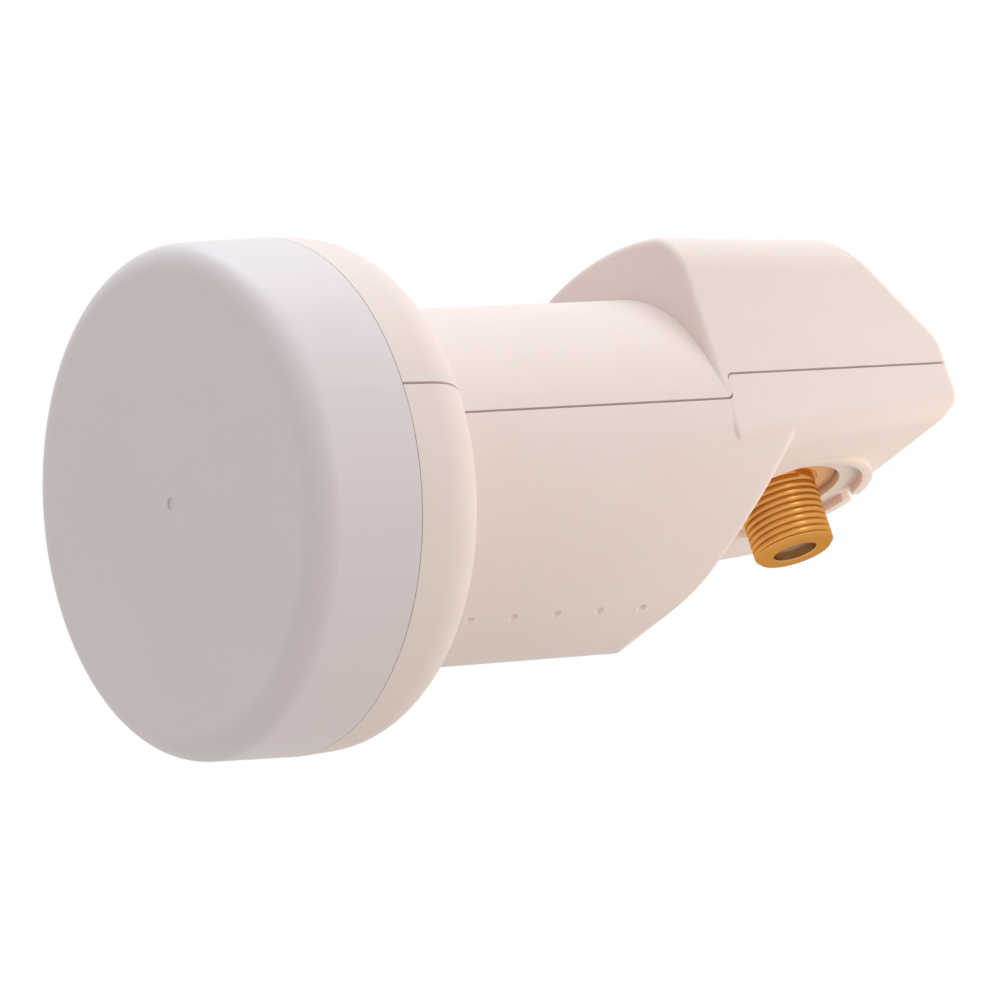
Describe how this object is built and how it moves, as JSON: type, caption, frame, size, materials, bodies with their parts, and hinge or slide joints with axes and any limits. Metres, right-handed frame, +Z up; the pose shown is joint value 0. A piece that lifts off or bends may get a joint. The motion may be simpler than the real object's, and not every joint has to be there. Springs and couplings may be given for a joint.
{
  "type": "satellite lnb",
  "caption": "Satellite dish LNB with a round feed cap, a straight clamp neck, a two-shell cream housing with an arched rear box, and a gold F port facing down.",
  "frame": {"origin": "on the neck's axis, within the length that the dish arm's clamp grips", "axes": "-Y along the neck towards the feed cap and the dish, +Z up to the arched roof, so the F port faces -Z"},
  "size_m": [0.0572, 0.0957, 0.0572],
  "materials": {
    "shell_plastic": "fine moulded cream ABS",
    "cap_plastic": "glossy cool-white polypropylene",
    "seal_rubber": "black rubber",
    "cast_metal": "as-cast aluminium",
    "board_laminate": "solder-masked laminate",
    "cover_metal": "as-cast aluminium",
    "absorber": "carbon-loaded foam rubber",
    "screw_steel": "zinc-plated steel",
    "probe_metal": "plated brass wire",
    "bead_plastic": "white fluoropolymer",
    "chip_epoxy": "moulded epoxy",
    "crystal_can": "plated can",
    "chip_ceramic": "sintered ceramic",
    "port_gold": "gold-coloured plating",
    "port_insulator": "natural polymer",
    "port_seal": "silicone rubber",
    "contact_metal": "plated spring bronze"
  },
  "bodies": {
    "root": {"feed_cap": "cap_plastic", "cap_seal": "seal_rubber", "upper_shell": "shell_plastic", "lower_shell": "shell_plastic", "horn_casting": "cast_metal", "isolation_bar": "screw_steel", "vertical_probe": "probe_metal", "horizontal_probe": "probe_metal", "probe_beads": "bead_plastic", "circuit_board": "board_laminate", "screening_cover": "cover_metal", "absorber_pad": "absorber", "cover_screws": "screw_steel", "converter_chip": "chip_epoxy", "voltage_regulator": "chip_epoxy", "crystal": "crystal_can", "lna_transistors": "chip_epoxy", "capacitors": "chip_ceramic", "f_connector_body": "port_gold", "f_connector_seal": "port_seal", "f_connector_insulator": "port_insulator", "f_connector_contact": "contact_metal"}
  },
  "joints": []
}
